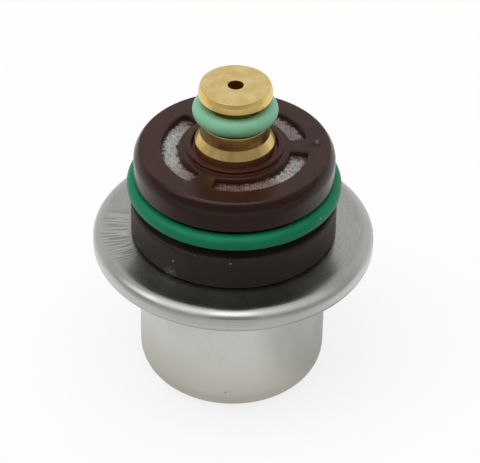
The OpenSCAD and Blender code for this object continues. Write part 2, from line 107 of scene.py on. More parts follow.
# The same path with extra points, so that no step along it is longer than the one given
def finer(path, step, closed=True):
    whole = np.concatenate([path, path[:1]]) if closed else path
    lengths = np.linalg.norm(np.diff(whole, axis=0), axis=1)
    along = np.concatenate([[0], np.cumsum(lengths)])
    index = np.arange(len(lengths))
    pieces = np.maximum(np.ceil(lengths / step).astype(int), 1)
    owner = np.repeat(index, pieces)
    rank = np.arange(len(owner)) - np.repeat(np.cumsum(pieces) - pieces, pieces)
    places = along[owner] + lengths[owner] * rank / pieces[owner]
    if not closed:
        places = np.append(places, along[-1])
    return np.stack([np.interp(places, along, whole[:, k]) for k in (0, 1)], axis=1)


# Surface of revolution: row i and column j hold point j of the path, turned by angle i about Z
def revolve(path, theta):
    radius, height = path[:, 0] * mm, path[:, 1] * mm
    return np.stack([
        np.outer(np.cos(theta), radius),
        np.outer(np.sin(theta), radius),
        np.broadcast_to(height, (len(theta), len(height))),
    ], axis=-1)


# Angles spread evenly round the axis
def evenAngles(count):
    return np.arange(count) * tau / count


# Numbers from 0 to 1 that lie closer together near both ends
def closerAtEnds(count, pull):
    t = np.linspace(0, 1, count + 1)
    return t - pull * np.sin(tau * t) / tau


# Between 0 and 1 as value goes from low to high, with flat ends
def smoothStep(value, low, high):
    share = np.clip((value - low) / (high - low), 0, 1)
    return share * share * (3 - 2 * share)


# Bell curve: 1 at the centre, and exp(-n^2) at n halves away from it
def bell(value, centre, half):
    return np.exp(-(((value - centre) / half) ** 2))


# Quads between neighbouring rows and columns of a grid, which closes on itself where asked
def gridFaces(rows, columns, closeRows, closeColumns):
    i = np.arange(rows if closeRows else rows - 1)[:, None]
    j = np.arange(columns if closeColumns else columns - 1)[None]
    nextI, nextJ = (i + 1) % rows, (j + 1) % columns
    corners = [i * columns + j, nextI * columns + j, nextI * columns + nextJ, i * columns + nextJ]
    return np.stack(corners, axis=-1).reshape(-1, 4)


def addObject(name, points, faces):
    mesh = bpy.data.meshes.new(name)
    mesh.from_pydata(points.reshape(-1, 3).tolist(), [], faces.tolist())
    mesh.polygons.foreach_set("use_smooth", np.ones(len(mesh.polygons), bool))
    obj = bpy.data.objects.new(name, mesh)
    bpy.context.scene.collection.objects.link(obj)
    return obj


# Merges points that coincide, and counts the edges that are still open
def weld(obj):
    welded = bmesh.new()
    welded.from_mesh(obj.data)
    bmesh.ops.remove_doubles(welded, verts=welded.verts, dist=tiny)
    welded.to_mesh(obj.data)
    openEdges = sum(1 for edge in welded.edges if len(edge.link_faces) != 2)
    welded.free()
    return openEdges


# Closed ring: a closed outline turned about Z, with an optional change of its points
def addRing(name, path, theta, change=None):
    points = revolve(path, theta)
    if change:
        points = change(points)
    return addObject(name, points, gridFaces(len(theta), len(path), True, True))


# One closed object made of several grids, each closed along its rows, whose borders meet
def addJoined(name, grids):
    offset, points, faces = 0, [], []
    for grid in grids:
        rows, columns = grid.shape[:2]
        points.append(grid.reshape(-1, 3))
        faces.append(gridFaces(rows, columns, True, False) + offset)
        offset += rows * columns
    obj = addObject(name, np.concatenate(points), np.concatenate(faces))
    openEdges = weld(obj)
    print("stage:", name, "joined,", len(obj.data.polygons), "faces,", openEdges, "open edges")
    return obj


# Border of one sector of a flat ring, as complex numbers: outer arc, side, inner arc, side. Both kinds of
# stretch are sampled at the shares given, from 0 up to but not including 1.
def sectorBorder(inner, outer, half, turnShare, runShare):
    turn = half * (2 * turnShare - 1)
    return np.concatenate([
        outer * np.exp(1j * turn),
        (outer + (inner - outer) * runShare) * np.exp(1j * half),
        inner * np.exp(-1j * turn),
        (inner + (outer - inner) * runShare) * np.exp(-1j * half),
    ])


# Flat complex points with heights, turned by an angle about Z, as points in metres
def lifted(flat, z, angle):
    turned = flat * np.exp(1j * angle) * mm
    return np.stack([turned.real, turned.imag, np.broadcast_to(z, flat.shape) * mm], axis=-1)


# A finished piece: its material, the body it rides on, and the CAD node it stands for, which is hidden
def settle(obj, material, node):
    obj.data.materials.append(material)
    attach(obj, "housing")
    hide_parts(node)


def newMaterial(name):
    material = bpy.data.materials.new(name)
    material.use_nodes = True
    tree = material.node_tree
    return material, tree, tree.nodes["Principled BSDF"]


def objectCoords(tree):
    return tree.nodes.new("ShaderNodeTexCoord").outputs["Object"]


# X, Y and Z of a vector, as three sockets
def parted(tree, vector):
    node = tree.nodes.new("ShaderNodeSeparateXYZ")
    tree.links.new(vector, node.inputs["Vector"])
    return node.outputs


# Noise over the object's own coordinates, with grains of the size given in millimetres
def noise(tree, size, stretch=(1, 1, 1), detail=3.0, vector=None):
    mapping = tree.nodes.new("ShaderNodeMapping")
    mapping.inputs["Scale"].default_value = stretch
    texture = tree.nodes.new("ShaderNodeTexNoise")
    texture.inputs["Scale"].default_value = 1 / (size * mm)
    texture.inputs["Detail"].default_value = detail
    tree.links.new(vector or objectCoords(tree), mapping.inputs["Vector"])
    tree.links.new(mapping.outputs["Vector"], texture.inputs["Vector"])
    return texture.outputs["Fac"]


# The value's range from low to high, turned into outLow to outHigh with soft ends
def ranged(tree, value, low, high, outLow, outHigh):
    node = tree.nodes.new("ShaderNodeMapRange")
    node.interpolation_type = "SMOOTHSTEP"
    for key, number in zip(("From Min", "From Max", "To Min", "To Max"), (low, high, outLow, outHigh)):
        node.inputs[key].default_value = number
    tree.links.new(value, node.inputs["Value"])
    return node.outputs["Result"]


# The same for a length in metres, whose low and high edges are given in millimetres from a base
def across(tree, value, edges, outLow, outHigh, base=0):
    return ranged(tree, value, (base + edges[0]) * mm, (base + edges[1]) * mm, outLow, outHigh)


def maths(tree, operation, first, second=None):
    node = tree.nodes.new("ShaderNodeMath")
    node.operation = operation
    for socket, value in zip(node.inputs, (first, second)):
        if isinstance(value, (int, float)):
            socket.default_value = value
        elif value is not None:
            tree.links.new(value, socket)
    return node.outputs["Value"]


def product(tree, first, *others):
    for other in others:
        first = maths(tree, "MULTIPLY", first, other)
    return first


# 1 between the inner two of four edges, 0 outside the outer two, soft between them
def band(tree, value, edges, unit=1):
    rise = ranged(tree, value, edges[0] * unit, edges[1] * unit, 0, 1)
    return product(tree, rise, ranged(tree, value, edges[2] * unit, edges[3] * unit, 1, 0))


# Colour between two others; each may be a socket or three linear numbers
def mixed(tree, factor, first, second):
    node = tree.nodes.new("ShaderNodeMix")
    node.data_type = "RGBA"
    tree.links.new(factor, node.inputs["Factor"])
    for key, value in (("A", first), ("B", second)):
        socket = [s for s in node.inputs if s.name == key and s.type == "RGBA"][0]
        if isinstance(value, tuple):
            socket.default_value = (*value, 1)
        else:
            tree.links.new(value, socket)
    return [s for s in node.outputs if s.type == "RGBA"][0]


# Bump of the height given in millimetres, on top of another bump if there is one
def bumped(tree, value, height, under=None):
    node = tree.nodes.new("ShaderNodeBump")
    node.inputs["Strength"].default_value = 1
    node.inputs["Distance"].default_value = height * mm
    tree.links.new(value, node.inputs["Height"])
    if under:
        tree.links.new(under, node.inputs["Normal"])
    return node.outputs["Normal"]


# Angle about Z in radians, measured from -X so that its seam lies on +X, distance from the axis, and height
def polarCoords(tree):
    x, y, z = parted(tree, objectCoords(tree))
    angle = maths(tree, "ARCTAN2", y, product(tree, x, -1))
    radius = maths(tree, "SQRT", maths(tree, "ADD", product(tree, x, x), product(tree, y, y)))
    return angle, radius, z


def combined(tree, x, y):
    node = tree.nodes.new("ShaderNodeCombineXYZ")
    tree.links.new(x, node.inputs["X"])
    tree.links.new(y, node.inputs["Y"])
    return node.outputs["Vector"]


# Between 1 at one place, given in millimetres, and 0 from the given reach on
def spot(tree, place, reach):
    node = tree.nodes.new("ShaderNodeVectorMath")
    node.operation = "DISTANCE"
    tree.links.new(objectCoords(tree), node.inputs[0])
    node.inputs[1].default_value = [number * mm for number in place]
    return across(tree, node.outputs["Value"], (0.5 * reach, reach), 1, 0)


# Material with the common finish: two colours and two roughnesses blended by patches, and a fine grain as
# bump. Beside the material it gives its tree, its shader's inputs, and what goes into three of them.
def finished(name, look):
    material, tree, shader = newMaterial(name)
    inputs = shader.inputs
    patches = noise(tree, look["patch"], look.get("stretch", (1, 1, 1)), 4)
    grain = noise(tree, look["grain"], look.get("grainStretch", (1, 1, 1)), 2)
    colour = mixed(tree, ranged(tree, patches, 0.3, 0.7, 0, 1), look["dark"], look["light"])
    roughness = ranged(tree, patches, 0.25, 0.75, *look["roughness"])
    normal = bumped(tree, grain, look["bump"])
    for key, value in (("Base Color", colour), ("Roughness", roughness), ("Normal", normal)):
        tree.links.new(value, inputs[key])
    inputs["Metallic"].default_value = look.get("metallic", 0)
    inputs["Specular IOR Level"].default_value = look.get("specular", 0.5)
    return material, tree, inputs, colour, roughness, normal


print("stage: helpers ready")

# Spring can: satin drawn steel with faint drawing streaks, and painted shade that darkens it towards its foot
can = {
    "sheet": 0.8, "baseRound": 3.7, "flangeRound": 0.8, "ventR": 0.8, "ventRound": 0.15,
    "dimpleR": 4.7, "dimpleH": 0.7, "dimpleRound": 0.4, "wallR": 12.7, "flangeZ": 20.45, "edgeRound": 0.1,
    "columns": 288, "step": 2.5,
    "foot": (0.53, 0.515, 0.445), "footEdges": (1.0, 14.0),
    "pit": (-0.7, -12.68, 4.1), "pitReach": 0.2, "pitAndShadowColour": (0.26, 0.25, 0.21),
    "dark": (0.515, 0.51, 0.47), "light": (0.605, 0.60, 0.575), "roughness": (0.36, 0.45), "patch": 4.0,
    "stretch": (1, 1, 0.5), "grain": 0.25, "grainStretch": (1, 1, 0.12), "bump": 0.004, "metallic": 1,
}
canR, _, canHigh = roundSize("spring_can")
wallIn, dimpleFoot = can["wallR"] - can["sheet"], can["dimpleR"] + can["dimpleH"]
dimpleTop = can["dimpleH"] + can["sheet"]
canPath = roundedPath(can, [
    ("ventR", "dimpleH", "ventRound"), ("dimpleR", "dimpleH", "dimpleRound"), (dimpleFoot, 0, "dimpleRound"),
    ("wallR", 0, "baseRound"), ("wallR", "flangeZ", "flangeRound"), (canR, "flangeZ", "edgeRound"),
    (canR, canHigh, "edgeRound"), (wallIn, canHigh, can["flangeRound"] + can["sheet"]),
    (wallIn, "sheet", can["baseRound"] - can["sheet"]), (dimpleFoot, "sheet", "dimpleRound"),
    ("dimpleR", dimpleTop, "dimpleRound"), ("ventR", dimpleTop, "ventRound"),
], steps=10)
canSkin = addRing("canSkin", finer(canPath, can["step"]), evenAngles(can["columns"]))
material, tree, inputs, colour, *_ = finished("satinSteel", can)
height = parted(tree, objectCoords(tree))[2]
# Painted shade: darker towards the foot, standing in for the floor's shadow mirrored there
colour = mixed(tree, across(tree, height, can["footEdges"], 1, 0), colour, can["foot"])
colour = mixed(tree, spot(tree, can["pit"], can["pitReach"]), colour, can["pitAndShadowColour"])
tree.links.new(colour, inputs["Base Color"])
settle(canSkin, material, "spring_can")

# Fuel housing: polished by the crimping roller, with short wrinkles in the rim's upper side
housing = {
    "sheet": 0.8, "neckR": 4.0, "neckZ": 31.3, "neckRound": 0.4, "cupR": 12.1, "cupRound": 1.4,
    "footRound": 0.6, "rimTop": 22.95, "rimRound": 1.2, "lipR": 16.2, "lipRound": 0.2, "edgeRound": 0.1,
    "columns": 360, "step": 0.6,
    "holes": 6, "holeR": 1.4, "holeRing": 8.6, "holeTurn": 33, "holeEdge": 0.08, "holeMargin": 0.1,
    "patchIn": 5.6, "patchOut": 10.4, "sideSteps": 12,
    "dish": 0.06, "dishR": 15.85, "dishHalf": 1.95,
    "rollWidth": 1.45, "rollMore": 0.95, "rollAngle": -48, "rollSpread": 20,
    "scuffs": (((-6.2, -17.2, 22.5), 5.0), ((7.4, -16.8, 22.5), 6.0)), "scuffRough": 0.18,
    "scuffAndGlintEdges": (17.4, 18.1), "scuffHeights": (21.4, 22.0),
    "flat": (0.40, 0.40, 0.375), "flatLight": (0.48, 0.48, 0.455), "flatEdges": (17.2, 18.1),
    "flatGloss": 0.04, "streakWidth": 0.16, "streakArm": 1.2,
    "seam": -1.541, "seamHalf": (0.001, 0.008), "seamEdges": (18.8, 18.9), "seamShare": 0.22,
    "seamShade": (0.3, 0.3, 0.29),
    "dark": (0.505, 0.505, 0.48), "light": (0.55, 0.55, 0.525), "roughness": (0.29, 0.36), "patch": 5.0,
    "grain": 0.2, "bump": 0.002, "metallic": 1,
    "lowShade": (0.35, 0.35, 0.335), "lowEdges": (0.8, 1.25),
    "wrinkleWidth": 0.3, "wrinkleDepth": 0.016, "wrinklePaintedShade": (0.2, 0.2, 0.19), "wrinkleShare": 0.7,
    "wrinkleTurn": (-0.56, -0.41, 0.06, 0.36), "wrinkleEdges": (13.9, 14.6, 16.8, 18.4), "wrinklePaintedSheen": 0.8,
    "wrinkleArm": 15.5, "wrinkleStretch": 0.07,
}
rimR, rimLow, cupTop = roundSize("fuel_housing")
sheet, rimTop = housing["sheet"], housing["rimTop"]
cupIn, rimIn, neckOut = housing["cupR"] - sheet, rimR - sheet, housing["neckR"] + sheet
roofLow = cupTop - sheet
foldIn = housing["rimRound"] - sheet
shellPath = roundedPath(housing, [
    ("patchOut", roofLow, 0), (cupIn, roofLow, housing["cupRound"] - sheet),
    (cupIn, rimTop - sheet, housing["footRound"] + sheet), (rimIn, rimTop - sheet, foldIn),
    (rimIn, rimLow + sheet, foldIn), ("lipR", rimLow + sheet, "edgeRound"), ("lipR", rimLow, "lipRound"),
    (rimR, rimLow, "rimRound"), (rimR, rimTop, "rimRound"), ("cupR", rimTop, "footRound"),
    ("cupR", cupTop, "cupRound"), ("patchOut", cupTop, 0),
], closed=False, steps=10)
neckPath = roundedPath(housing, [
    ("patchIn", cupTop, 0), ("neckR", cupTop, housing["neckRound"] + sheet), ("neckR", "neckZ", "edgeRound"),
    (neckOut, "neckZ", "edgeRound"), (neckOut, roofLow, "neckRound"), ("patchIn", roofLow, 0),
], closed=False, steps=10)


# Roof round one fuel hole: from the sector's border straight to the hole's broken edge, down its wall, and
# back to the border on the underside
def holePatch():
    arcSteps, sideSteps = housing["columns"] // housing["holes"], housing["sideSteps"]
    arcShare, sideShare = np.arange(arcSteps) / arcSteps, np.arange(sideSteps) / sideSteps
    half = math.pi / housing["holes"]
    border = sectorBorder(housing["patchIn"], housing["patchOut"], half, arcShare, sideShare)
    outwards = border - housing["holeRing"]
    outwards = (outwards / np.abs(outwards))[:, None]
    edge, margin = housing["holeEdge"], housing["holeEdge"] + housing["holeMargin"]
    bend = np.linspace(0, quarter, 4)
    offsets = np.concatenate([[margin], edge * (1 - np.sin(bend)), edge * (1 - np.cos(bend)), [margin]])
    heights = np.concatenate([
        np.full(3, cupTop), cupTop - edge * (1 - np.cos(bend)),
        roofLow + edge * (1 - np.sin(bend)), np.full(3, roofLow),
    ])
    rows = housing["holeRing"] + outwards * (housing["holeR"] + offsets)[None]
    halfWay = (border[:, None] + rows[:, [0, -1]]) / 2
    flat = np.concatenate([border[:, None], halfWay[:, :1], rows, halfWay[:, 1:], border[:, None]], axis=1)
    return flat, heights


# Rolled rim: its upper side sinks by a parabola across its width, and its upper edge is a quarter of an
# ellipse, which is wider where the crimping roller left the rim
def rolled(points):
    radius, z = np.hypot(points[..., 0], points[..., 1]) / mm, points[..., 2] / mm
    turn = np.degrees(np.arctan2(points[..., 1], points[..., 0]))
    centreR, centreZ = rimR - housing["rimRound"], rimTop - housing["rimRound"]
    onTop = np.abs(z - rimTop) < touch
    onEdge = np.abs(np.hypot(radius - centreR, z - centreZ) - housing["rimRound"]) < touch
    onEdge &= (radius > centreR) & (z > centreZ)
    swell = bell(turn, housing["rollAngle"], housing["rollSpread"])
    width = housing["rollWidth"] + housing["rollMore"] * swell
    share = np.clip((radius - rimR + width) / width, 0, 1)
    dish = np.clip(1 - ((radius - housing["dishR"]) / housing["dishHalf"]) ** 2, 0, 1)
    sunk = rimTop - housing["rimRound"] * (1 - np.sqrt(1 - share**2)) - housing["dish"] * dish
    points[..., 2] = np.where(onTop | onEdge, sunk * mm, points[..., 2])
    return points


holeTurn = math.radians(housing["holeTurn"])
housingTheta = evenAngles(housing["columns"]) + holeTurn
shell, neck = (revolve(finer(path, housing["step"], False), housingTheta) for path in (shellPath, neckPath))
patch = holePatch()
housingSkin = addJoined("housingSkin", [rolled(shell), neck] + [
    lifted(*patch, holeTurn + turn) for turn in evenAngles(housing["holes"])
])
material, tree, inputs, colour, roughness, normal = finished("crimpedSteel", housing)
angle, radius, z = polarCoords(tree)
# The upper side is duller, with fine rings; scuffs roughen the rolled edge
rings = combined(tree, product(tree, angle, housing["streakArm"] * mm), radius)
streaks = ranged(tree, noise(tree, housing["streakWidth"], detail=2, vector=rings), 0.3, 0.7, 0, 1)
onFlat = across(tree, radius, housing["flatEdges"], 1, 0)
colour = mixed(tree, onFlat, colour, mixed(tree, streaks, housing["flat"], housing["flatLight"]))
roughness = maths(tree, "SUBTRACT", roughness, product(tree, onFlat, housing["flatGloss"]))
onRoll = product(
    tree, across(tree, radius, housing["scuffAndGlintEdges"], 0, 1),
    across(tree, z, housing["scuffHeights"], 0, housing["scuffRough"]),
)
for place, reach in housing["scuffs"]:
    roughness = maths(tree, "ADD", roughness, product(tree, spot(tree, place, reach), onRoll))
tree.links.new(roughness, inputs["Roughness"])
# Wrinkles run outwards in one sector of the upper side; besides their bump, the sector is painted lighter as
# painted sheen and the lines darker as painted shade
outwards = combined(
    tree, product(tree, angle, housing["wrinkleArm"] * mm), product(tree, radius, housing["wrinkleStretch"])
)
lines = ranged(tree, noise(tree, housing["wrinkleWidth"], detail=2, vector=outwards), 0.44, 0.64, 0, 1)
sector = band(tree, angle, housing["wrinkleTurn"])
where = product(tree, sector, band(tree, radius, housing["wrinkleEdges"], mm))
wrinkles = product(tree, lines, where)
colour = mixed(tree, product(tree, where, housing["wrinklePaintedSheen"]), colour, housing["light"])
colour = mixed(tree, product(tree, wrinkles, housing["wrinkleShare"]), colour, housing["wrinklePaintedShade"])
wrinkled = bumped(tree, product(tree, wrinkles, -1), housing["wrinkleDepth"], normal)
tree.links.new(wrinkled, inputs["Normal"])
# Darker lower edge of the rim, and a faint seam down its side
low = across(tree, z, housing["lowEdges"], 1, 0, rimLow)
colour = mixed(tree, low, colour, housing["lowShade"])
offSeam = maths(tree, "ABSOLUTE", maths(tree, "SUBTRACT", angle, housing["seam"]))
seam = ranged(tree, offSeam, *housing["seamHalf"], housing["seamShare"], 0)
seam = product(tree, seam, across(tree, radius, housing["seamEdges"], 0, 1))
colour = mixed(tree, seam, colour, housing["seamShade"])
tree.links.new(colour, inputs["Base Color"])
settle(housingSkin, material, "fuel_housing")
print("stage: steel housing")

# Support ring: dull brown-black plastic with a little torn flash near its foot
ring = {
    "inR": 12.15, "inChamfer": 0.65, "edge": 0.5, "foot": 0.4, "footRound": 0.15, "fillet": 0.1,
    "columns": 720, "step": 0.25, "skinR": 13, "waves": ((1.7, 3), (2.9, -7), (4.3, 9)), "ripple": 0.035,
    "flashAngle": 233.5, "flashHalf": 3.2, "flashSize": 0.3, "flashHeight": 0.5, "flashRise": 0.4,
    "flashReach": 1.3, "flashShade": (0.22, 0.205, 0.18), "crumb": 0.34, "crumbStretch": (0.6, 0.6, 1.5),
    "specks": (((-7.8, -11.42, 25.75), 0.22), ((-4.89, -12.94, 27.9), 0.2), ((-0.26, -13.83, 27.35), 0.2)),
    "speckShade": (0.26, 0.24, 0.22),
    "dark": (0.029, 0.0200, 0.0135), "light": (0.038, 0.0265, 0.0185), "roughness": (0.38, 0.5), "patch": 3.0,
    "grain": 0.15, "bump": 0.006, "specular": 0.21,
}
ringR, ringLow, ringHigh = roundSize("support_ring")


# Torn edge: waves of unlike pitch push the skin out, strongly at one place near the foot and faintly all
# round it
def torn(points):
    angle = np.degrees(np.arctan2(points[..., 1], points[..., 0])) % 360
    radius = np.hypot(points[..., 0], points[..., 1]) / mm
    height = points[..., 2] / mm - ringLow
    first, second, third = (turns * angle + climbs * height for turns, climbs in ring["waves"])
    waves = np.sin(first) * np.cos(second) + 0.5 * np.sin(third)
    low = bell(height, ring["flashHeight"], ring["flashRise"]) * (radius > ring["skinR"])
    place = bell(angle, ring["flashAngle"], ring["flashHalf"])
    push = low * (ring["flashSize"] * place * np.abs(waves) + ring["ripple"] * waves)
    points[..., :2] *= (1 + push / radius)[..., None]
    return points


ringPath = roundedPath(ring, [
    ("inR", ringLow + ring["inChamfer"], "fillet"), (ring["inR"] + ring["inChamfer"], ringLow, "fillet"),
    (ringR - ring["foot"], ringLow, "fillet"), (ringR, ringLow + ring["foot"], "footRound"),
    (ringR, ringHigh, "edge"), ("inR", ringHigh, "footRound"),
])
ringSkin = addRing("ringSkin", finer(ringPath, ring["step"]), evenAngles(ring["columns"]), torn)
material, tree, inputs, colour, *_ = finished("ringPlastic", ring)
for place, reach in ring["specks"]:
    colour = mixed(tree, spot(tree, place, reach), colour, ring["speckShade"])
flashTurn = math.radians(ring["flashAngle"])
flashPlace = (ringR * math.cos(flashTurn), ringR * math.sin(flashTurn), ringLow + ring["flashHeight"])
crumbs = ranged(tree, noise(tree, ring["crumb"], ring["crumbStretch"], detail=5), 0.46, 0.66, 0.15, 1)
crumbs = product(tree, crumbs, spot(tree, flashPlace, ring["flashReach"]))
tree.links.new(mixed(tree, crumbs, colour, ring["flashShade"]), inputs["Base Color"])
settle(ringSkin, material, "support_ring")


# Round seal: a circle that fills the node's height, turned about Z
def addSeal(name, node, look):
    outer, low, high = roundSize(node)
    section = (high - low) / 2
    around = evenAngles(look["sides"])
    radius = outer - section + section * np.cos(around)
    height = (low + high) / 2 + section * np.sin(around)
    return addRing(name, np.stack([radius, height], axis=1), evenAngles(look["columns"]))


# Body seal and nozzle seal: smooth rubber
bodySeal = {
    "columns": 320, "sides": 64,
    "speck": (11.43, -8.59, 31.03), "speckReach": 0.2, "speckShade": (0.35, 0.5, 0.42),
    "dark": (0.002, 0.210, 0.092), "light": (0.003, 0.245, 0.109), "roughness": (0.36, 0.46), "patch": 2.5,
    "grain": 0.2, "bump": 0.004, "specular": 0.22,
}
bodySealSkin = addSeal("bodySeal", "body_seal", bodySeal)
material, tree, inputs, colour, *_ = finished("greenRubber", bodySeal)
speck = spot(tree, bodySeal["speck"], bodySeal["speckReach"])
tree.links.new(mixed(tree, speck, colour, bodySeal["speckShade"]), inputs["Base Color"])
settle(bodySealSkin, material, "body_seal")

nozzleSeal = {
    "columns": 192, "sides": 64,
    "dark": (0.265, 0.605, 0.380), "light": (0.300, 0.650, 0.415), "roughness": (0.36, 0.46), "patch": 2.0,
    "grain": 0.2, "bump": 0.004, "specular": 0.3,
}
nozzleSealSkin = addSeal("nozzleSeal", "nozzle_seal", nozzleSeal)
settle(nozzleSealSkin, finished("mintRubber", nozzleSeal)[0], "nozzle_seal")
print("stage: plastic ring and seals")

# Strainer cap: one closed surface made of two revolved parts and three roof patches, each with its window
cap = {
    "windows": 3, "ribAngle": 3, "span": 101, "windowIn": 7.4, "windowOut": 9.8, "corner": 0.5,
    "edge": 0.24, "edgeMargin": 0.06, "wallStops": (0.1, 0.25, 0.4), "lowEdge": 0.06, "lowMargin": 0.05,
    "topRise": 2.53, "roof": 0.75, "roofIn": 6.9, "roofOut": 10.15, "roofShares": (0, 0.35, 0.7),
    "galleryIn": 6.9, "galleryOut": 10.3, "skirtIn": 12.15, "shoulder": 2.6, "flatR": 12.65, "flatStep": 0.09,
    "crease": 0.38, "creaseMargin": 0.05, "collarOut": 6.55, "collarIn": 5.75, "collarH": 0.57,
    "collarRound": 0.2, "groove": 0.25, "lipR": 5.2, "boreR": 4.7, "hubZ": 34.8, "seatR": 5.9,
    "sharp": 0.05, "fillet": 0.1, "grooveRound": 0.12, "lipRound": 0.15,
    "arcSteps": 80, "sideSteps": 18, "arcPull": 0.7, "sidePull": 0.3, "windowPull": 0.85,
    "gateR": 10.9, "gateRound": 0.6, "gateSoft": 0.12, "stubSoft": 0.1, "gateDepth": 0.15,
    "fleck": (10.88, 1.3), "fleckRise": 0.12, "fleckReach": 0.5, "fleckLift": 0.05, "fleckSpot": 0.36,
    "paintedGlint": (0.115, 0.088, 0.078),
    "pit": (10.15, 0.6), "pitReach": 0.75, "pitAndShadowColour": (0.018, 0.007, 0.005),
    "glintGrain": 0.35, "scuffAndGlintEdges": (12.39, 12.51, 12.52, 12.64), "glintTurn": (-1.97, -1.73, -1.17, -0.93),
    "sideEdges": (12.6, 12.9), "sidePaintedShade": (0.028, 0.0098, 0.0066),
    "shineEdges": (12.1, 12.4, 12.9, 13.2), "shineGloss": 0.1,
    "hubEdges": (6.6, 7.3), "hubPaintedRed": (0.055, 0.0155, 0.0080),
    "sunkHeights": (-0.35, -0.1), "sunkEdges": (10.3, 10.8), "sunkPaintedRed": (0.078, 0.023, 0.0115),
    "lipEdges": (5.3, 5.7), "lipPaintedGlow": (0.165, 0.054, 0.027),
    "dark": (0.038, 0.0132, 0.0083), "light": (0.048, 0.0168, 0.0102), "roughness": (0.18, 0.27),
    "patch": 3.0, "grain": 0.3, "bump": 0.003, "specular": 0.24,
}
capR, skirtZ, lipTop = roundSize("strainer_cap")
capTop = cupTop + cap["topRise"]
roofZ = capTop - cap["roof"]
sectorHalf = math.pi / cap["windows"]
arcShare = closerAtEnds(cap["arcSteps"], cap["arcPull"])[:-1]
sideShare = closerAtEnds(cap["sideSteps"], cap["sidePull"])[:-1]


# Outline of a window about angle 0, as points and outward directions. It is two arcs about the axis, two
# straight ends and four corner arcs, and it starts in the middle of the corner at the start of the outer arc.
def windowOutline(steps):
    corner, half = cap["corner"], math.radians(cap["span"] / 2)
    inR, outR = cap["windowIn"] + corner, cap["windowOut"] - corner
    inHalf, outHalf = half - math.asin(corner / inR), half - math.asin(corner / outR)
    share = np.linspace(0, 1, steps, endpoint=False)
    arcs = [
        (outR * np.exp(-1j * outHalf), corner, (-half - quarter - outHalf) / 2, -outHalf),
        (0, cap["windowOut"], -outHalf, outHalf),
        (outR * np.exp(1j * outHalf), corner, outHalf, half + quarter),
        (inR * np.exp(1j * inHalf), corner, half + quarter, inHalf + math.pi),
        (0, cap["windowIn"], inHalf, -inHalf),
        (inR * np.exp(-1j * inHalf), corner, math.pi - inHalf, 3 * quarter - half),
        (outR * np.exp(-1j * outHalf), corner, -half - quarter, (-half - quarter - outHalf) / 2),
    ]
    points, normals = [], []
    for centre, radius, first, last in arcs:
        direction = np.exp(1j * (first + (last - first) * share))
        points.append(centre + radius * direction)
        normals.append(-direction if radius == cap["windowIn"] else direction)
    return np.concatenate(points), np.concatenate(normals)


# Places along the window's outline, one for each point of the sector's border: the four middles of the
# corners lie on the border's four corners
def outlineSamples(points, normals):
    whole, wholeNormals = np.append(points, points[0]), np.append(normals, normals[0])
    along = np.concatenate([[0], np.cumsum(np.abs(np.diff(whole)))])
    steps = len(points) // 7
    middles = [0] + [arc * steps + steps // 2 for arc in (2, 3, 5)] + [-1]
    marks = along[middles]
    counts = (cap["arcSteps"], cap["sideSteps"]) * 2
    pulls = (cap["windowPull"], cap["sidePull"]) * 2
    places = np.concatenate([
        first + (last - first) * closerAtEnds(count, pull)[:-1]
        for first, last, count, pull in zip(marks[:-1], marks[1:], counts, pulls)
    ])
    sampled = np.interp(places, along, whole.real) + 1j * np.interp(places, along, whole.imag)
    direction = np.interp(places, along, wholeNormals.real) + 1j * np.interp(places, along, wholeNormals.imag)
    return sampled, direction / np.abs(direction)


# Roof patch: from the sector's border over the flat roof, round the window's edge, down its wall, and
# under the roof back to the gallery's border
def roofPatch():
    outline, normal = outlineSamples(*windowOutline(400))
    edge, lowEdge = cap["edge"], cap["lowEdge"]
    top = sectorBorder(cap["roofIn"], cap["roofOut"], sectorHalf, arcShare, sideShare)
    low = sectorBorder(cap["galleryIn"], cap["galleryOut"], sectorHalf, arcShare, sideShare)
    bend = np.linspace(0, quarter, 7)
    stops, share = np.array(cap["wallStops"]), np.array(cap["roofShares"])
    offsets = np.concatenate([
        [edge + cap["edgeMargin"]], edge * (1 - np.sin(bend)), 0 * stops,
        lowEdge * (1 - np.cos(bend)), [lowEdge + cap["lowMargin"]],
    ])
    heights = np.concatenate([
        np.full(len(share) + 1, capTop), capTop - edge * (1 - np.cos(bend)), capTop - edge - stops,
        roofZ + lowEdge * (1 - np.sin(bend)), np.full(len(share) + 1, roofZ),
    ])
    rows = outline[:, None] + normal[:, None] * offsets[None]
    above = top[:, None] + (rows[:, :1] - top[:, None]) * share[None]
    under = low[:, None] + (rows[:, -1:] - low[:, None]) * share[None, ::-1]
    return np.concatenate([above, rows, under], axis=1), heights


# Gate mark: a shallow round recess with a stub in its middle and a torn fleck that stands up beside it
def gateMark(points):
    place = (points[..., 0] + 1j * points[..., 1]) / mm
    away = np.abs(place - cap["gateR"] * np.exp(1j * math.radians(cap["ribAngle"])))
    onTop = points[..., 2] > (capTop - touch) * mm
    sink = 1 - smoothStep(away, cap["gateRound"] - cap["gateSoft"], cap["gateRound"])
    stub = 1 - smoothStep(away, cap["gateRound"] / 2 - cap["stubSoft"], cap["gateRound"] / 2)
    fleck = 1 - smoothStep(np.abs(place - complex(*cap["fleck"])), 0, cap["fleckReach"])
    rise = cap["fleckRise"] * fleck - cap["gateDepth"] * (sink - stub)
    points[..., 2] += np.where(onTop, rise * mm, 0)
    return points


ribs = evenAngles(cap["windows"]) + math.radians(cap["ribAngle"])
capTheta = (ribs[:, None] + 2 * sectorHalf * arcShare[None]).ravel()
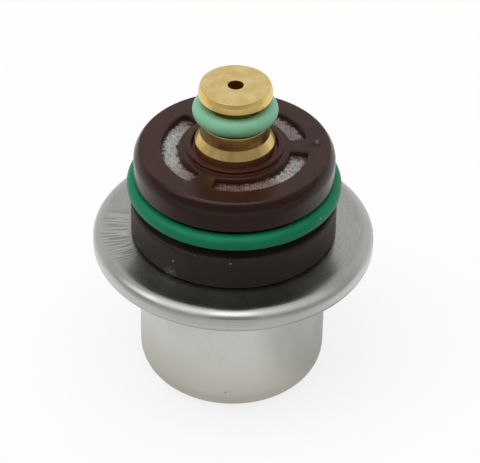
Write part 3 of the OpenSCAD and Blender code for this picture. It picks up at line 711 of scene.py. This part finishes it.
# The shoulder is an arc that is tangent to the wall and meets the roof in a small fillet
shoulderR = capR - cap["shoulder"]
shoulderZ = capTop - math.sqrt(cap["shoulder"] ** 2 - (cap["flatR"] - shoulderR) ** 2)
creaseZ = capTop - cap["crease"]
creaseR = shoulderR + math.sqrt((cap["shoulder"] - cap["crease"]) ** 2 - (creaseZ - shoulderZ) ** 2)
meet = math.atan2(creaseZ - shoulderZ, creaseR - shoulderR)
bend, fold = np.linspace(0, meet, 17)[1:], np.linspace(meet, quarter, 6)[1:]
flatStart = creaseR - cap["creaseMargin"]
flatRun = np.arange(flatStart - cap["flatStep"], cap["roofOut"], -cap["flatStep"])[:-1]
flatR = np.concatenate([[flatStart], flatRun, [cap["roofOut"]]])
outerPath = np.concatenate([
    roundedPath(cap, [
        ("galleryOut", roofZ, 0), ("galleryOut", cupTop, "sharp"), ("skirtIn", cupTop, "fillet"),
        ("skirtIn", skirtZ, "fillet"), (capR, skirtZ, "lipRound"), (capR, shoulderZ, 0),
    ], closed=False, steps=12),
    np.stack([shoulderR + cap["shoulder"] * np.cos(bend), shoulderZ + cap["shoulder"] * np.sin(bend)], 1),
    np.stack([creaseR + cap["crease"] * np.cos(fold), creaseZ + cap["crease"] * np.sin(fold)], 1),
    np.stack([flatR, np.full(len(flatR), capTop)], 1),
])
collarTop, grooveZ = capTop + cap["collarH"], capTop - cap["groove"]
innerPath = roundedPath(cap, [
    ("roofIn", capTop, 0), ("collarOut", capTop, "grooveRound"), ("collarOut", collarTop, "collarRound"),
    ("collarIn", collarTop, "grooveRound"), ("collarIn", grooveZ, "grooveRound"),
    ("lipR", grooveZ, "grooveRound"), ("lipR", lipTop, "lipRound"), ("boreR", lipTop, "fillet"),
    ("boreR", "hubZ", "fillet"), ("seatR", "hubZ", "fillet"), ("seatR", cupTop, "fillet"),
    ("galleryIn", cupTop, "fillet"), ("galleryIn", roofZ, 0),
], closed=False, steps=5)
patch = roofPatch()
capSkin = addJoined("capSkin", [gateMark(revolve(outerPath, capTheta)), revolve(innerPath, capTheta)] + [
    lifted(*patch, rib + sectorHalf) for rib in ribs
])
material, tree, inputs, colour, roughness, _ = finished("capPlastic", cap)
angle, radius, z = polarCoords(tree)
# Painted shade: the shoulder and the side are darker than the roof
colour = mixed(tree, across(tree, radius, cap["sideEdges"], 0, 1), colour, cap["sidePaintedShade"])
shine = product(tree, band(tree, radius, cap["shineEdges"], mm), cap["shineGloss"])
tree.links.new(maths(tree, "SUBTRACT", roughness, shine), inputs["Roughness"])
# Painted light and shade: redder where less light is mirrored, on the hub and inside the windows
colour = mixed(tree, across(tree, radius, cap["hubEdges"], 1, 0), colour, cap["hubPaintedRed"])
sunk = across(tree, z, cap["sunkHeights"], 1, 0, capTop)
sunk = product(tree, sunk, across(tree, radius, cap["sunkEdges"], 1, 0))
colour = mixed(tree, sunk, colour, cap["sunkPaintedRed"])
# Painted highlight, broken up by noise, along the front of the edge where the roof meets the shoulder
edgeGlint = ranged(tree, noise(tree, cap["glintGrain"]), 0.35, 0.6, 0.45, 1)
edgeGlint = product(tree, edgeGlint, band(tree, radius, cap["scuffAndGlintEdges"], mm), band(tree, angle, cap["glintTurn"]))
colour = mixed(tree, edgeGlint, colour, cap["paintedGlint"])
# Painted reflection: the snap lip under the brass is lighter red, as if lit by light the brass throws on it
colour = mixed(tree, across(tree, radius, cap["lipEdges"], 1, 0), colour, cap["lipPaintedGlow"])
# Painted shadow: a dark patch on the left side of the gate's recess
colour = mixed(tree, spot(tree, (*cap["pit"], capTop), cap["pitReach"]), colour, cap["pitAndShadowColour"])
# Painted highlight: the fleck, raised in the shape, is also painted pale where it catches the light
fleck = spot(tree, (*cap["fleck"], capTop + cap["fleckLift"]), cap["fleckSpot"])
tree.links.new(mixed(tree, fleck, colour, cap["paintedGlint"]), inputs["Base Color"])
settle(capSkin, material, "strainer_cap")
print("stage: strainer cap")

# Gauze: plain weave of round wires, cut to a flat ring
gauze = {
    "pitch": 0.215, "wire": 0.053, "wave": 0.056, "inR": 6.95, "outR": 10.25, "roofGap": 0.005,
    "bleed": (0.085, 0.036, 0.024), "bleedNoise": 0.5, "bleedShift": 1.6, "endShift": 0.64,
    "endEdges": (-0.9, -0.6), "bleedIn": (0.1, 0.5), "bleedOut": (-0.5, -0.1),
    "tint": (0.33, 0.172, 0.134), "tintPatch": 0.7, "tintSpread": (0.8, 1.1),
    "brown": (-2.3, -8.0, 35.3), "brownReach": 6.0, "brownShare": 0.88,
    "rightEdges": (-7, -1), "rightShare": 0.7, "backEdges": (0, 3), "backShare": 0.75,
    "leftEnds": (0.3, 0.75), "leftShare": 0.5,
    "bright": (7.3, -4.3, 35.3), "brightReach": 4.1, "brightShare": 0.85,
    "dark": (0.74, 0.72, 0.70), "light": (0.95, 0.95, 0.94), "roughness": (0.22, 0.34), "patch": 0.6,
    "grain": 0.1, "bump": 0.001, "metallic": 1,
}


# One set of wires: wire k runs along u at v = k pitch, and its height swings from side to side of the
# sheet at each crossing. The wires are square tubes with closed ends.
def weave(middle, flip):
    pitch, wire = gauze["pitch"], gauze["wire"]
    reach = int(gauze["outR"] / pitch) + 1
    k = np.arange(-reach, reach + 1)[:, None, None]
    i = np.arange(-2 * reach, 2 * reach + 1)[None, :, None]
    around = evenAngles(4)[None, None]
    u, v = i * pitch / 2, k * pitch
    inside = (np.hypot(u, v) < gauze["outR"] - wire) & (np.hypot(u, v) > gauze["inR"] + wire)
    height = middle + flip * gauze["wave"] * np.cos(math.pi * (i / 2 + k)) + wire * np.sin(around)
    along = np.broadcast_to(u, height.shape)
    aside = np.broadcast_to(v + flip * wire * np.cos(around), height.shape)
    points = np.stack([along, aside, height] if flip > 0 else [aside, along, height], axis=-1) * mm
    kept = inside[:, :-1, 0] & inside[:, 1:, 0]
    index = np.arange(height.size).reshape(height.shape)
    near, far = index[:, :-1], index[:, 1:]
    sides = np.stack([near, far, np.roll(far, -1, 2), np.roll(near, -1, 2)], axis=-1)[kept].reshape(-1, 4)
    starts = kept & ~np.pad(kept, ((0, 0), (1, 0)))[:, :-1]
    ends = kept & ~np.pad(kept, ((0, 0), (0, 1)))[:, 1:]
    faces = np.concatenate([sides, near[starts], far[ends][:, ::-1]])
    used, faces = np.unique(faces, return_inverse=True)
    return points.reshape(-1, 3)[used], faces.reshape(-1, 4)[:, ::-1]  # turned so that they point outwards


gauzeZ = roofZ - gauze["wire"] - gauze["wave"] - gauze["roofGap"]
warpPoints, warpFaces = weave(gauzeZ, 1)
weftPoints, weftFaces = weave(gauzeZ, -1)
gauzePoints = np.concatenate([warpPoints, weftPoints])
gauzeFaces = np.concatenate([warpFaces, weftFaces + len(warpPoints)])
gauzeSkin = addObject("gauzeWires", gauzePoints, gauzeFaces)
material, tree, inputs, colour, *_ = finished("wovenWire", gauze)
angle, radius, _ = polarCoords(tree)
x, y, _ = parted(tree, objectCoords(tree))
# Painted shade with a painted brown reflection of the cap on the wires, in patches: at one end of the front
# window, towards the right and at the left window's ends, and less where the wires mirror the bright light
brown = product(tree, spot(tree, gauze["brown"], gauze["brownReach"]), gauze["brownShare"])
toRight = across(tree, x, gauze["rightEdges"], 0, gauze["rightShare"])
toRight = product(tree, toRight, across(tree, y, gauze["backEdges"], 1, gauze["backShare"]))
leftEnds = ranged(tree, maths(tree, "ABSOLUTE", angle), *gauze["leftEnds"], 0, gauze["leftShare"])
brown = maths(tree, "MAXIMUM", maths(tree, "MAXIMUM", brown, toRight), leftEnds)
bright = product(tree, spot(tree, gauze["bright"], gauze["brightReach"]), gauze["brightShare"])
dimPatches = ranged(tree, noise(tree, gauze["tintPatch"]), 0.35, 0.65, *gauze["tintSpread"])
brown = product(tree, brown, maths(tree, "SUBTRACT", 1, bright), dimPatches)
colour = mixed(tree, brown, colour, gauze["tint"])
# Plastic that bled into the weave: near the windows' ends and edges
uneven = maths(tree, "SUBTRACT", noise(tree, gauze["bleedNoise"]), 0.5)
turn = product(tree, maths(tree, "ADD", angle, math.radians(cap["ribAngle"])), cap["windows"])
ends = maths(tree, "ADD", maths(tree, "COSINE", turn), product(tree, uneven, gauze["endShift"]))
ends = ranged(tree, ends, *gauze["endEdges"], 1, 0)
shifted = maths(tree, "ADD", radius, product(tree, uneven, gauze["bleedShift"] * mm))
inner = across(tree, shifted, gauze["bleedIn"], 1, 0, cap["windowIn"])
outer = across(tree, shifted, gauze["bleedOut"], 0, 1, cap["windowOut"])
bleed = maths(tree, "MAXIMUM", ends, maths(tree, "MAXIMUM", inner, outer))
tree.links.new(mixed(tree, bleed, colour, gauze["bleed"]), inputs["Base Color"])
tree.links.new(maths(tree, "SUBTRACT", 1, bleed), inputs["Metallic"])
settle(gauzeSkin, material, "strainer_gauze")
print("stage: gauze", len(gauzeSkin.data.polygons), "faces")

# Return nozzle: turned brass with small broken edges
nozzle = {
    "breakEdge": 0.07, "sharp": 0.05, "fillet": 0.1, "columns": 256, "step": 1.0,
    "seatR": 2.1, "seatH": 0.5, "boreR": 1.5, "noseR": 3.2, "shankR": 4.0,
    "flangeR": 5.8, "flangeH": 1.0, "neckR": 4.6, "barbR": 5.3, "barbZ": 37.25, "barbEdge": 0.2,
    "coneTop": 38.6, "grooveZ": 40.6, "grooveR": 3.2, "headZ": 44.5, "headR": 4.87, "headH": 0.8,
    "headRound": 0.5, "bevel": 0.24, "bevelRound": 0.09, "portR": 1.05, "portH": 3.0, "portRound": 0.04,
    "nick": (3.57, -3.31, 44.57), "nickReach": 0.5, "nickGrain": 0.3, "nickShade": (0.40, 0.27, 0.10),
    "tarnish": (0.60, 0.41, 0.19), "tarnishWidth": 0.9, "tarnishStretch": 0.15, "tarnishShare": 0.55,
    "tarnishEdges": (-0.3, 0),
    "topDark": (0.79, 0.575, 0.205), "topLight": (0.87, 0.69, 0.325), "topPatch": 1.7,
    "topHeights": (-0.12, -0.03),
    "neckPaintedReflection": (0.74, 0.475, 0.14), "neckEdges": (38.55, 38.7, 40.3, 40.5),
    "dark": (0.83, 0.575, 0.19), "light": (0.90, 0.65, 0.24), "roughness": (0.27, 0.32), "patch": 2.0,
    "grain": 0.2, "bump": 0.0006, "metallic": 1,
}
_, seatZ, nozzleTop = roundSize("return_nozzle")
noseZ, shankZ = seatZ + nozzle["seatH"], housing["neckZ"]
flangeTop, boreTop = cupTop + nozzle["flangeH"], nozzleTop - nozzle["portH"]
nozzlePath = roundedPath(nozzle, [
    ("boreR", seatZ, "sharp"), ("seatR", seatZ, "sharp"), ("seatR", noseZ, "sharp"),
    ("noseR", noseZ, "sharp"), ("noseR", shankZ, "sharp"), ("shankR", shankZ, "sharp"),
    ("shankR", cupTop, "sharp"), ("flangeR", cupTop, "sharp"), ("flangeR", flangeTop, "fillet"),
    ("neckR", flangeTop, "sharp"), ("neckR", "barbZ", "sharp"), ("barbR", "barbZ", "breakEdge"),
    ("barbR", nozzle["barbZ"] + nozzle["barbEdge"], "breakEdge"), ("neckR", "coneTop", "fillet"),
    ("neckR", "grooveZ", "breakEdge"), ("grooveR", "grooveZ", "fillet"), ("grooveR", "headZ", "fillet"),
    ("headR", "headZ", "breakEdge"), ("headR", nozzle["headZ"] + nozzle["headH"], "headRound"),
    (nozzle["headR"] - nozzle["bevel"], nozzleTop, "bevelRound"), ("portR", nozzleTop, "portRound"),
    ("portR", boreTop, "sharp"), ("boreR", boreTop, "sharp"),
])
nozzleSkin = addRing("nozzleSkin", finer(nozzlePath, nozzle["step"]), evenAngles(nozzle["columns"]))
material, tree, inputs, colour, *_ = finished("turnedBrass", nozzle)
angle, _, height = polarCoords(tree)
patches = ranged(tree, noise(tree, nozzle["topPatch"], detail=4), 0.35, 0.65, 0, 1)
faced = mixed(tree, patches, nozzle["topDark"], nozzle["topLight"])
onTop = across(tree, height, nozzle["topHeights"], 0, 1, nozzleTop)
colour = mixed(tree, onTop, colour, faced)
# Painted reflection: the neck is darker and redder, as if mirroring the red hub of the cap
colour = mixed(tree, band(tree, height, nozzle["neckEdges"], mm), colour, nozzle["neckPaintedReflection"])
# Tarnish runs down the cone in uneven streaks
around = combined(
    tree, product(tree, angle, nozzle["barbR"] * mm), product(tree, height, nozzle["tarnishStretch"])
)
streaks = noise(tree, nozzle["tarnishWidth"], detail=4, vector=around)
streaks = ranged(tree, streaks, 0.45, 0.7, 0, nozzle["tarnishShare"])
below = across(tree, height, nozzle["tarnishEdges"], 1, 0, nozzle["grooveZ"])
colour = mixed(tree, product(tree, streaks, below), colour, nozzle["tarnish"])
scraped = ranged(tree, noise(tree, nozzle["nickGrain"]), 0.4, 0.6, 0, 1)
scraped = product(tree, spot(tree, nozzle["nick"], nozzle["nickReach"]), scraped)
tree.links.new(mixed(tree, scraped, colour, nozzle["nickShade"]), inputs["Base Color"])
settle(nozzleSkin, material, "return_nozzle")
print("stage: nozzle")

# Main spring: a round wire wound in a coil whose ends are closed and ground flat
spring = {
    "wire": 2.2, "outR": 8.3, "turns": 6, "steps": 64, "sides": 20, "closed": 1.02,
    "dark": (0.10, 0.10, 0.10), "light": (0.20, 0.20, 0.20), "roughness": (0.25, 0.4), "patch": 2.0,
    "grain": 0.2, "bump": 0.004, "metallic": 1,
}
_, springLow, springHigh = roundSize("main_spring")
turns, wireHalf = spring["turns"], spring["wire"] / 2
turn = np.arange(turns * spring["steps"] + 1) / spring["steps"]
closedRise = spring["wire"] * spring["closed"]
openRise = (springHigh - springLow - wireHalf - 2 * closedRise) / (turns - 2)
wireZ = springLow + wireHalf / 2 + closedRise * (np.minimum(turn, 1) + np.maximum(turn - turns + 1, 0))
wireZ = wireZ + openRise * np.clip(turn - 1, 0, turns - 2)
around = evenAngles(spring["sides"])[None]
wireR = spring["outR"] - wireHalf + wireHalf * np.cos(around)
coilPoints = np.stack([
    wireR * np.cos(tau * turn)[:, None],
    wireR * np.sin(tau * turn)[:, None],
    np.clip(wireZ[:, None] + wireHalf * np.sin(around), springLow, springHigh),
], axis=-1) * mm
# A row drawn together into one point closes each end
ends = [np.broadcast_to(row.mean(0), (1, *row.shape)) for row in (coilPoints[0], coilPoints[-1])]
coilRows = np.concatenate([ends[0], coilPoints, ends[1]])
springCoil = addObject("springCoil", coilRows, gridFaces(len(coilRows), spring["sides"], False, True))
weld(springCoil)
settle(springCoil, finished("springWire", spring)[0], "main_spring")
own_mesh(springCoil)

# Diaphragm: clamped edge, roll and raised middle, swept as a profile of constant thickness
diaphragm = {
    "inR": 2.65, "middleStops": (5.0, 9.2), "rollIn": 9.4, "rollOut": 12.7, "edgeStops": (13.2, 15.0),
    "thick": 0.9, "rise": 0.8, "depth": 0.7, "clampZ": 21.7, "columns": 192,
    "dark": (0.010, 0.010, 0.011), "light": (0.016, 0.016, 0.017), "roughness": (0.5, 0.65), "patch": 1.5,
    "grain": 0.2, "bump": 0.01,
}
edgeR = roundSize("diaphragm")[0]
rollShare = np.linspace(0, 1, 25)
rollR = diaphragm["rollIn"] + (diaphragm["rollOut"] - diaphragm["rollIn"]) * rollShare
rollZ = diaphragm["clampZ"] + diaphragm["rise"] * (1 + np.cos(math.pi * rollShare)) / 2
rollZ = rollZ - diaphragm["depth"] * np.sin(math.pi * rollShare) ** 2
middleR, clampedR = [diaphragm["inR"], *diaphragm["middleStops"]], [*diaphragm["edgeStops"], edgeR]
lineR = np.concatenate([middleR, rollR, clampedR])
lineZ = np.concatenate([np.full(3, rollZ[0]), rollZ, np.full(3, rollZ[-1])])
half = diaphragm["thick"] / 2
diaphragmPath = np.concatenate([np.stack([lineR, lineZ - half], 1), np.stack([lineR, lineZ + half], 1)[::-1]])
diaphragmSheet = addRing("diaphragmSheet", diaphragmPath, evenAngles(diaphragm["columns"]))
settle(diaphragmSheet, finished("blackRubber", diaphragm)[0], "diaphragm")
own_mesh(diaphragmSheet)
print("stage: spring and diaphragm")

# Inner steel pieces keep their CAD shape
innerLooks = {
    "platedSteel": {
        "nodes": ("diaphragm_plate", "spring_plate", "ball_washer"),
        "dark": (0.36, 0.36, 0.33), "light": (0.50, 0.49, 0.44), "roughness": (0.28, 0.42), "patch": 2.0,
        "grain": 0.25, "bump": 0.004, "metallic": 1,
    },
    "groundSteel": {
        "nodes": ("valve_holder", "valve_ball", "ball_spring"),
        "dark": (0.46, 0.46, 0.45), "light": (0.58, 0.58, 0.57), "roughness": (0.14, 0.26), "patch": 1.5,
        "grain": 0.15, "bump": 0.002, "metallic": 1,
    },
}
for name, look in innerLooks.items():
    material = finished(name, look)[0]
    for node in look["nodes"]:
        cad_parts[node].data.materials.clear()
        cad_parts[node].data.materials.append(material)
print("stage: inner pieces")

# Floor: wide pale sheet that the regulator stands on. It glows a little for the camera, so that its shadow
# stays faint, and it is darker towards the camera, out of the picture. What metal mirrors of it fades with
# distance, near the foot and on the right, and brightens again in a band in front.
studio = {
    "floorSize": 3000, "paper": (0.88, 0.88, 0.88), "table": (0.14, 0.14, 0.14), "paperEdges": (-60, -22),
    "floorRough": 0.9, "glow": 0.74, "glowLight": 1.06, "tableLight": 0.24, "mirroredGlow": 0.88,
    "mirrored": 1.17, "farEdges": (28, 60), "farTurn": (-30, 0), "farShares": (0.58, 0.17),
    "bandEdges": (62, 80), "bandShare": 0.36,
    "footEdges": (12, 26), "footShare": 0.62, "sideEdges": (10, 20), "sideShare": 0.40, "sideFade": (24, 40),
    "wallTurn": (-0.5, 0.5), "front": 0.29, "back": 0.75, "left": 0.97, "right": 1.04, "lowest": 0.02,
    "gap": (0.05, 0.4, 0.7, 1.0), "gapShare": 0.42,
    "key": 1.8, "keyX": (-2.2, -0.8, 0.0, 1.0), "keyY": (-1.0, -0.50, -0.15, 0.35),
}
floorPoints = np.array([[-1, -1, 0], [1, -1, 0], [1, 1, 0], [-1, 1, 0]], float) * studio["floorSize"] * mm / 2
floorPoints[:, 2] = cadBox[0][2]
floor = addObject("floor", floorPoints, np.array([[0, 1, 2, 3]]))
material, tree, shader = newMaterial("paperFloor")
shader.inputs["Roughness"].default_value = studio["floorRough"]
shader.inputs["Specular IOR Level"].default_value = 0.0
x, y, _ = parted(tree, objectCoords(tree))
away = polarCoords(tree)[1]
onPaper = across(tree, y, studio["paperEdges"], 0, 1)
tree.links.new(mixed(tree, onPaper, studio["table"], studio["paper"]), shader.inputs["Base Color"])
far = across(tree, y, studio["farTurn"], *studio["farShares"])
far = product(tree, far, across(tree, away, studio["farEdges"], 0, 1))
frontBand = across(tree, product(tree, y, -1), studio["bandEdges"], 0, studio["bandShare"])
fade = maths(tree, "ADD", maths(tree, "SUBTRACT", 1, far), frontBand)
fade = product(tree, fade, across(tree, away, studio["footEdges"], studio["footShare"], 1))
side = across(tree, x, studio["sideEdges"], 0, studio["sideShare"])
side = product(tree, side, across(tree, away, studio["sideFade"], 1, 0))
fade = product(tree, fade, maths(tree, "SUBTRACT", 1, side), studio["mirrored"])
rays = tree.nodes.new("ShaderNodeLightPath").outputs
seen, mirrored = rays["Is Camera Ray"], rays["Is Glossy Ray"]
bare = ranged(tree, onPaper, 0, 1, studio["glowLight"] + studio["tableLight"], studio["glowLight"])
glow = tree.nodes.new("ShaderNodeEmission")
strength = maths(tree, "ADD", product(tree, seen, bare), product(tree, mirrored, fade))
tree.links.new(strength, glow.inputs["Strength"])
blend = tree.nodes.new("ShaderNodeMixShader")
glowShare = maths(
    tree, "ADD", product(tree, seen, studio["glow"]), product(tree, mirrored, studio["mirroredGlow"])
)
tree.links.new(glowShare, blend.inputs["Fac"])
tree.links.new(shader.outputs["BSDF"], blend.inputs[1])
tree.links.new(glow.outputs["Emission"], blend.inputs[2])
tree.links.new(blend.outputs["Shader"], tree.nodes["Material Output"].inputs["Surface"])
floor.data.materials.append(material)

# Light: a bright box overhead, a pale wall behind with a dimmer gap above it, and a darker room behind the
# camera, which itself sees plain white
world = bpy.data.worlds.new("studio")
bpy.context.scene.world = world
world.use_nodes = True
tree = world.node_tree
background = tree.nodes["Background"]
x, y, z = parted(tree, tree.nodes.new("ShaderNodeTexCoord").outputs["Generated"])
wall = ranged(tree, y, *studio["wallTurn"], studio["front"], studio["back"])
wall = product(tree, wall, ranged(tree, x, *studio["wallTurn"], studio["left"], studio["right"]))
# Places on the ceiling, one unit above
up = maths(tree, "MAXIMUM", z, studio["lowest"])
ceilingX, ceilingY = maths(tree, "DIVIDE", x, up), maths(tree, "DIVIDE", y, up)
gap = product(tree, band(tree, ceilingY, studio["gap"]), studio["gapShare"])
wall = product(tree, wall, maths(tree, "SUBTRACT", 1, gap))
key = product(tree, band(tree, ceilingX, studio["keyX"]), band(tree, ceilingY, studio["keyY"]), studio["key"])
lit = maths(tree, "ADD", wall, key)
seen = tree.nodes.new("ShaderNodeLightPath").outputs["Is Camera Ray"]
lit = maths(tree, "ADD", product(tree, lit, maths(tree, "SUBTRACT", 1, seen)), seen)
tree.links.new(lit, background.inputs["Strength"])
background.inputs["Color"].default_value = (1, 1, 1, 1)
bpy.context.scene.view_settings.view_transform = "Standard"
print("stage: studio")

# Camera: as in the photo, looking down from the front; angles in radians, sensor and lens in millimetres
view = {
    "tilt": 0.659, "roll": 0.018, "distance": 326.2, "target": (0.897, 0, 21.99), "sensor": 36, "lens": 180.4,
}
camera = bpy.data.cameras.new("camera")
camera.sensor_fit = "HORIZONTAL"
camera.sensor_width = view["sensor"]
camera.lens = view["lens"]
cameraObject = bpy.data.objects.new("camera", camera)
bpy.context.scene.collection.objects.link(cameraObject)
target = Matrix.Translation([number * mm for number in view["target"]])
turned = Matrix.Rotation(quarter - view["tilt"], 4, "X") @ Matrix.Rotation(view["roll"], 4, "Z")
cameraObject.matrix_world = target @ turned @ Matrix.Translation((0, 0, view["distance"] * mm))
bpy.context.scene.camera = cameraObject

print("stage: camera and sizes")
